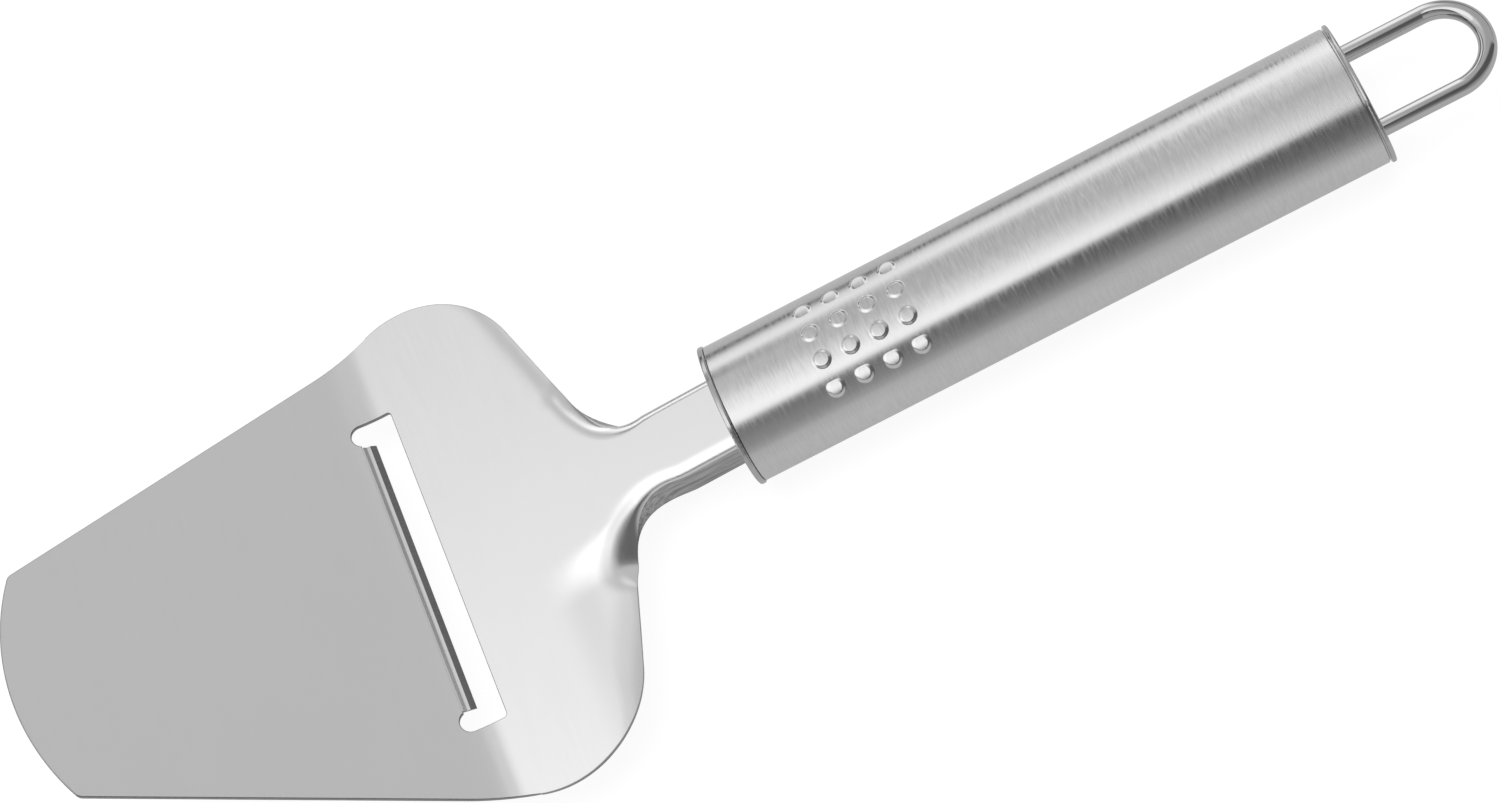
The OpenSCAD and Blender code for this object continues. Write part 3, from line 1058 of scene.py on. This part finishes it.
    def strip(self, maker: MeshMaker, profile: Sequence[tuple[np.ndarray, float]], finish: Face) -> None:
        """Draws a profile out across the lip.

        Args:
            maker: Takes the faces.
            profile: Points (x, z) and the downward slope of the surface at each.
            finish: The finish.
        """
        ys = np.linspace(-self.lip_half, self.lip_half, LIP_COLUMNS)
        rows = [[maker.point((spot[0], y, spot[1])) for y in ys] for spot, _ in profile]
        normals = [[(math.sin(slope), 0.0, math.cos(slope))] * LIP_COLUMNS for _, slope in profile]
        maker.grid(rows, normals, flip=True, finish=finish)


@dataclass
class HandleTube:
    """The oval tube with its pressed grip dots, in millimetres.

    Attributes:
        layout: The places that the pieces share.
        width: Width of the oval.
        height: Height of the oval.
        side_r: Radius of its two narrow arcs.
        wall: Thickness of the wall.
        dot_d: Diameter of a dot.
        dot_rise: Height of a dot.
        dot_level: How much of the tube's slope the dots' tops take back.
        dot_crown: How much of a dot's height is its domed top.
        dot_foot: Width of the soft foot round a dot.
        dot_flat: Share of a dot's radius inside its flank.
        dot_pitch: Distance between dots.
        dot_start: Distance of the first dots from the tube's front end.
        end_r: Radius of the tube's ends.
        columns: Dots along the tube.
        rows: Dots round the tube.
        margin: How far the fine mesh reaches past the middles of the outer dots, along the tube.
        side_margin: How far it reaches past the dots' own share of the round.
        mesh_step: Mesh size round the dots.
    """

    layout: Layout
    width: float = 24.3
    height: float = 16.5
    side_r: float = 6.3
    wall: float = 0.7
    dot_d: float = 3.0
    dot_rise: float = 0.2
    dot_level: float = 0.36
    dot_crown: float = 0.03
    dot_foot: float = 0.1
    dot_flat: float = 0.62
    dot_pitch: float = 4.95
    dot_start: float = 17.0
    end_r: float = 0.25
    columns: int = 4
    rows: int = 4
    margin: float = 3.0
    side_margin: float = 1.0
    mesh_step: float = 0.13

    def __post_init__(self) -> None:
        """Works out the four-arc oval."""
        self.side_c = self.width / 2 - self.side_r
        self.broad_c = ((self.side_c ** 2 - (self.height / 2 - self.side_r) ** 2)
                        / (self.height - 2 * self.side_r))
        self.broad_r = self.broad_c + self.height / 2
        self.turn = math.atan2(self.side_c, self.broad_c)
        self.broad = self.broad_r * self.turn
        self.side = self.side_r * (math.pi - 2 * self.turn)
        self.girth = 4 * self.broad + 2 * self.side

    def ring(self, arc: float) -> tuple[np.ndarray, np.ndarray]:
        """A point of the outline.

        Args:
            arc: Distance along it from the top's middle line, towards +Y.

        Returns:
            The point (y, z) and its outward normal.
        """
        arc = (arc + self.girth / 2) % self.girth - self.girth / 2
        sign, s = (1.0, arc) if arc >= 0 else (-1.0, -arc)
        if s <= self.broad:
            turn, centre, r = s / self.broad_r, (0.0, -self.broad_c), self.broad_r
        elif s <= self.broad + self.side:
            turn, centre, r = self.turn + (s - self.broad) / self.side_r, (self.side_c, 0.0), self.side_r
        else:
            turn = math.pi - self.turn + (s - self.broad - self.side) / self.broad_r
            centre, r = (0.0, self.broad_c), self.broad_r
        normal = np.array([math.sin(turn), math.cos(turn)])
        return (centre + r * normal) * (sign, 1.0), normal * (sign, 1.0)

    def dot(self, x: np.ndarray, arc: np.ndarray) -> np.ndarray:
        """Height of the grip dots over the tube.

        Args:
            x: Places along the tube.
            arc: Places round it, from the top's middle line.

        Returns:
            The height at each place.
        """
        high = np.zeros(np.broadcast(x, arc).shape)
        for i in range(self.columns):
            for j in range(self.rows):
                middle = (j - (self.rows - 1) / 2) * self.dot_pitch
                lean = math.tan(self.dot_level * middle / self.broad_r)
                away = np.hypot(x - self.dot_start - i * self.dot_pitch, arc - middle)
                reach = np.clip(away / (self.dot_d / 2 + self.dot_foot), 0.0, 1.0)
                flank = 1 - ease((reach - self.dot_flat) / (1 - self.dot_flat))
                top = self.dot_rise - self.dot_crown + (arc - middle) * lean
                high = np.maximum(high, top * flank + self.dot_crown * (1 - reach ** 2))
        return high

    def build(self) -> bpy.types.Object:
        """Builds the tube.

        Returns:
            The tube's object.
        """
        length = self.layout.tube_len
        first = self.dot_start - self.margin
        last = self.dot_start + (self.columns - 1) * self.dot_pitch + self.margin
        round_off = self.end_r * (1 - np.cos(np.linspace(0.0, math.pi / 2, END_POINTS)))
        xs = np.concatenate([round_off, np.linspace(self.end_r, first, FRONT_POINTS)[1:-1],
                             np.arange(first, last, self.mesh_step),
                             np.linspace(last, length - self.end_r, REAR_POINTS)[:-1],
                             length - round_off[::-1]])
        half = self.rows * self.dot_pitch / 2 + self.side_margin
        arcs = np.concatenate([np.arange(-half, half, self.mesh_step),
                               np.linspace(half, self.girth - half, ROUND_POINTS)])
        maker = MeshMaker()
        spots = [self.ring(float(s)) for s in arcs]
        xg, sg = np.meshgrid(xs, np.where(arcs > self.girth / 2, arcs - self.girth, arcs), indexing="ij")
        high = self.dot(xg, sg)
        lean = np.clip(1 - np.minimum(xs, length - xs) / self.end_r, 0.0, 1.0)
        drop = self.end_r * (1 - np.sqrt(1 - lean ** 2))
        lean *= np.where(xs < length / 2, -1.0, 1.0)
        nudge = 0.02
        slope_x = (self.dot(xg + nudge, sg) - self.dot(xg - nudge, sg)) / (2 * nudge)
        slope_s = (self.dot(xg, sg + nudge) - self.dot(xg, sg - nudge)) / (2 * nudge)
        outer, inner, outs, ins = [], [], [], []
        for i, x in enumerate(xs):
            row_o, row_i, n_o, n_i = [], [], [], []
            for j, (spot, normal) in enumerate(spots):
                top = spot + normal * (high[i, j] - drop[i])
                low = spot + normal * (high[i, j] - self.wall)
                row_o.append(maker.point(self.layout.from_handle((x, *top))))
                row_i.append(maker.point(self.layout.from_handle((x, *low))))
                along = np.array([normal[1], -normal[0]])
                up = unit(np.array([-slope_x[i, j], *(normal - along * slope_s[i, j])]))
                n_i.append(-up)
                level = math.sqrt(1 - lean[i] ** 2)
                n_o.append(np.array([lean[i] + up[0] * (lean[i] == 0), *(up[1:] * level)]))
            for rows, row in ((outer, row_o), (inner, row_i), (outs, n_o), (ins, n_i)):
                rows.append([*row, row[0]])
        maker.grid(outer, outs, flip=True)
        maker.grid(inner, ins)
        for end, flip in ((0, True), (-1, False)):
            maker.grid([inner[end], outer[end]], None, flip=flip)
        return maker.piece("grip_tube", [BRUSHED_TUBE.material()])


@dataclass
class Studio:
    """The camera, the soft studio light and the pale floor.

    A span is the range of a direction's X part over which one light gives way to another.

    Attributes:
        layout: The places that the pieces share.
        place: The camera's place in the handle's axes, in millimetres.
        right: Direction to the right of the picture.
        down: Direction down the picture.
        lens: Focal length for the sensor.
        sensor: Width of the sensor.
        over_handle: Light level by angle over the handle, from straight up towards +Y.
        over_blade: The same over the blade's side of the studio.
        blade_x: Span from that light to the handle's, towards the handle.
        over_front: The same on the handle's side, which the front plate mirrors.
        front_x: Span of that light.
        over_loop: The same where the hanging loop mirrors it.
        loop_x: Span of that light.
        low_glow: First angle, last angle and soft edge of a faint glow low over the handle.
        glow_x: Span over which it ends, towards the handle.
        glow_level: Its level.
        past_tip: Level low down beyond the blade's tip.
        past_x: Span of that light to the others.
        past_share: How much of it there is.
        brightest: Level that renders the world's white.
        floor_size: Width of the floor, in metres.
        floor_drop: How far the floor lies under the part, in metres.
        floor_tone: Its reflectance.
        floor_light: Strength of the floor's own light.
        mirrored_grey: Its grey where metal mirrors it.
        seen_share: How much the camera sees of it, against the shaded floor.
        mirrored_share: How much metal mirrors of it, against the shaded floor.
        lamp_at: Place of the lamp, in metres.
        lamp_size: Its length and width, in metres.
        lamp_power: Its power, in watts.
    """

    layout: Layout
    place: tuple[float, float, float] = (70.835, -248.983, 507.546)
    right: tuple[float, float, float] = (0.88334, -0.362997, -0.296553)
    down: tuple[float, float, float] = (-0.453365, -0.822322, -0.343869)
    lens: float = 87.001
    sensor: float = 36.0
    over_handle: tuple[tuple[float, float], ...] = (
        (-90.0, 0.66), (-60.0, 0.6), (-47.0, 0.48), (-36.0, 0.22), (-19.0, 0.1), (-15.0, 0.3), (-12.0, 1.45),
        (-5.0, 1.42), (10.0, 0.92), (28.0, 0.64), (50.0, 0.57), (57.0, 0.75), (65.0, 1.22), (77.0, 1.0),
        (83.0, 0.6), (86.0, 0.08), (90.0, 0.1), (95.0, 0.45), (120.0, 0.62), (150.0, 0.8))
    over_blade: tuple[tuple[float, float], ...] = (
        (-60.0, 0.6), (-34.0, 0.3), (-18.0, 0.12), (-12.0, 1.5), (18.0, 1.5), (20.5, 1.0), (26.0, 1.04),
        (29.0, 0.85), (33.0, 0.76), (40.0, 0.82), (47.0, 0.86), (50.0, 0.2), (60.0, 0.25), (62.0, 1.3),
        (76.0, 1.2), (80.0, 0.08), (108.0, 0.08), (116.0, 0.5))
    blade_x: tuple[float, float] = (-0.16, -0.11)
    over_front: tuple[tuple[float, float], ...] = (
        (-90.0, 0.5), (-60.0, 0.4), (-45.0, 0.15), (4.0, 0.14), (16.0, 0.6), (64.0, 0.6), (72.0, 0.3),
        (95.0, 0.2), (105.0, 0.5))
    front_x: tuple[float, float] = (0.12, 0.32)
    over_loop: tuple[tuple[float, float], ...] = (
        (-150.0, 0.75), (-100.0, 0.75), (-80.0, 0.5), (-62.0, 0.25), (-45.0, 0.14), (-20.0, 0.14),
        (-8.0, 0.45), (12.0, 0.6), (30.0, 0.6), (38.0, 1.0), (50.0, 1.5), (85.0, 1.5), (97.0, 1.2),
        (104.0, 0.05), (170.0, 0.05))
    loop_x: tuple[float, float] = (0.056, 0.08)
    low_glow: tuple[float, float, float] = (-38.0, -17.0, 3.0)
    glow_x: tuple[float, float] = (-0.12, -0.04)
    glow_level: float = 0.2
    past_tip: float = 0.72
    past_x: tuple[float, float] = (-0.85, -0.6)
    past_share: float = 0.6
    brightest: float = 1.6
    floor_size: float = 6.0
    floor_drop: float = 0.0002
    floor_tone: float = 0.9
    floor_light: float = 1.1
    mirrored_grey: float = 0.55
    seen_share: float = 0.82
    mirrored_share: float = 0.75
    lamp_at: tuple[float, float, float] = (0.1, 0.15, 1.3)
    lamp_size: tuple[float, float] = (1.2, 0.9)
    lamp_power: float = 6.0

    def camera(self) -> None:
        """Sets the camera where the photograph was taken from."""
        data = bpy.data.cameras.new("camera")
        data.lens, data.sensor_width, data.sensor_fit = self.lens, self.sensor, "HORIZONTAL"
        data.clip_start, data.clip_end = 0.01, 20.0
        eye = bpy.data.objects.new("camera", data)
        right = Vector(self.right).normalized()
        up = -Vector(self.down).normalized()
        back = right.cross(up).normalized()
        up = back.cross(right)
        turn = Matrix((right, up, back)).transposed()
        place = Vector(self.layout.from_handle(self.place)) * MM
        eye.matrix_world = Matrix.Translation(place) @ turn.to_4x4()
        bpy.context.scene.collection.objects.link(eye)
        bpy.context.scene.camera = eye

    def world(self) -> None:
        """Surrounds the part with a softbox studio, white where the camera looks past it."""
        world = bpy.data.worlds.new("studio")
        bpy.context.scene.world = world
        world.use_nodes = True
        board = Board(world.node_tree)
        way = board.add("ShaderNodeTexCoord", out="Generated")
        x, y, z = (board.add("ShaderNodeSeparateXYZ", {}, {0: way}, axis) for axis in range(3))
        angle = board.add("ShaderNodeMath", {"operation": "ARCTAN2"}, {0: y, 1: z}) * (180 / math.pi)
        light = (board.levels(angle, self.over_handle)
                 + board.band(angle, *self.low_glow) * board.spread(x, *self.glow_x, self.glow_level, 0.0))
        for level, share in (
                (board.levels(angle, self.over_blade), board.spread(x, *self.blade_x, 1.0, 0.0)),
                (board.levels(angle, self.over_loop), board.spread(x, *self.loop_x, 0.0, 1.0)),
                (board.levels(angle, self.over_front), board.spread(x, *self.front_x, 0.0, 1.0)),
                (self.past_tip, board.spread(x, *self.past_x, self.past_share, 0.0))):
            light = light * (1 - share) + level * share
        seen = board.add("ShaderNodeLightPath", out="Is Camera Ray")
        boxes = board.add("ShaderNodeBackground", {}, {
            "Color": board.grey(light * (1 / self.brightest), 0.0, 1.0), "Strength": self.brightest})
        white = board.add("ShaderNodeBackground", {}, {"Color": (1.0, 1.0, 1.0, 1.0), "Strength": 1.0})
        both = board.add("ShaderNodeMixShader", {}, {0: seen, 1: boxes, 2: white})
        board.add("ShaderNodeOutputWorld", {}, {"Surface": both})

    def floor(self) -> None:
        """Lays the pale floor that the slicer rests on."""
        bpy.ops.mesh.primitive_plane_add(size=self.floor_size, location=(0.0, 0.0, -self.floor_drop))
        plane = bpy.context.object
        plane.name = "floor"
        material = bpy.data.materials.new("pale_floor")
        material.use_nodes = True
        board = Board(material.node_tree)
        seen = board.add("ShaderNodeLightPath", out="Is Camera Ray")
        mirrored = board.add("ShaderNodeLightPath", out="Is Glossy Ray")
        cloth = board.add("ShaderNodeBsdfDiffuse", {}, {"Color": (*[self.floor_tone] * 3, 1.0)})
        glow = board.add("ShaderNodeEmission", {}, {"Color": board.grey(seen, self.mirrored_grey, 1.0),
                                                    "Strength": self.floor_light})
        both = board.add("ShaderNodeMixShader", {}, {
            0: seen * self.seen_share + mirrored * self.mirrored_share, 1: cloth, 2: glow})
        board.add("ShaderNodeOutputMaterial", {}, {"Surface": both})
        plane.data.materials.append(material)

    def lamps(self) -> None:
        """Hangs one broad soft lamp over the part, for the floor's shadow."""
        data = bpy.data.lights.new("softbox", "AREA")
        data.shape, data.energy = "RECTANGLE", self.lamp_power
        data.size, data.size_y = self.lamp_size
        lamp = bpy.data.objects.new("softbox", data)
        lamp.location = self.lamp_at
        lamp.rotation_euler = (-lamp.location).to_track_quat("-Z", "Y").to_euler()
        lamp.visible_glossy = False
        bpy.context.scene.collection.objects.link(lamp)

    def build(self) -> None:
        """Sets up camera, world, floor and lamp."""
        bpy.context.scene.view_settings.view_transform = "Standard"
        self.camera()
        self.world()
        self.floor()
        self.lamps()


@dataclass
class Fittings:
    """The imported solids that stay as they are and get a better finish.

    Attributes:
        nodes: The frame's objects by node name.
    """

    nodes: dict[str, bpy.types.Object]

    def dress(self) -> None:
        """Gives each kept solid its steel."""
        for finish, names in ((POLISHED_CAP, ("front_cap", "rear_cap")), (POLISHED_WIRE, ("hanging_loop",)),
                              (WELD_BEAD, ("neck_welds", "loop_welds"))):
            steel = finish.material()
            for name in names:
                self.nodes[name].data.materials.clear()
                self.nodes[name].data.materials.append(steel)
                LOG.info("dressed %s in %s", name, finish.name)


def main() -> None:
    """Builds the slicer over its frame and logs each built piece's face count."""
    logging.basicConfig(level=logging.INFO, format="%(name)s: %(message)s")
    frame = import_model()
    layout = Layout()
    Studio(layout).build()
    for piece, node, slot in ((Blade(layout).build(), "blade", "blade_steel"),
                              (HandleTube(layout).build(), "handle_tube", "tube_steel")):
        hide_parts(node)
        LOG.info("built %s: %d faces", piece.name, len(piece.data.polygons))
    Fittings(frame["nodes"]).dress()


if __name__ == "__main__":
    main()
